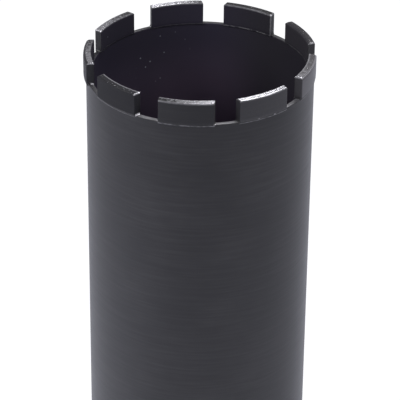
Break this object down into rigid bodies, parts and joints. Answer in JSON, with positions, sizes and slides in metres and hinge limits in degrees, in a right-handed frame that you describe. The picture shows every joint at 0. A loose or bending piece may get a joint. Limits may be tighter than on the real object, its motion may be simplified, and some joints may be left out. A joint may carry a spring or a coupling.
{
  "type": "diamond core bit",
  "caption": "Wet core drill bit: a thin steel barrel with a crown of brazed diamond segments and a threaded hub, for cutting round holes in concrete.",
  "frame": {"origin": "on the drilling axis at the hub's outer face, which the bit stands on", "axes": "+Z along the drilling axis from the hub to the crown; -Z is the way the drill's spindle leaves the hub; the two wrench flats face +X and -X; one segment is centred on -Y"},
  "size_m": [0.1016, 0.1013, 0.3974],
  "materials": {
    "black_paint": "satin black paint over circumferentially ground steel",
    "hub_steel": "turned steel, painted satin black outside, bare in the thread",
    "diamond_matrix": "sintered metal with diamond grit, painted satin black, its top face ground",
    "silver_braze": "smooth silver brazing alloy under thin black paint"
  },
  "bodies": {
    "root": {"barrel": "black_paint", "back_plate": "black_paint", "barrel_weld": "black_paint", "hub_weld": "black_paint", "threaded_hub": "hub_steel", "segment_1": "diamond_matrix", "segment_2": "diamond_matrix", "segment_3": "diamond_matrix", "segment_4": "diamond_matrix", "segment_5": "diamond_matrix", "segment_6": "diamond_matrix", "segment_7": "diamond_matrix", "segment_8": "diamond_matrix", "segment_9": "diamond_matrix", "braze_1": "silver_braze", "braze_2": "silver_braze", "braze_3": "silver_braze", "braze_4": "silver_braze", "braze_5": "silver_braze", "braze_6": "silver_braze", "braze_7": "silver_braze", "braze_8": "silver_braze", "braze_9": "silver_braze"}
  },
  "joints": []
}
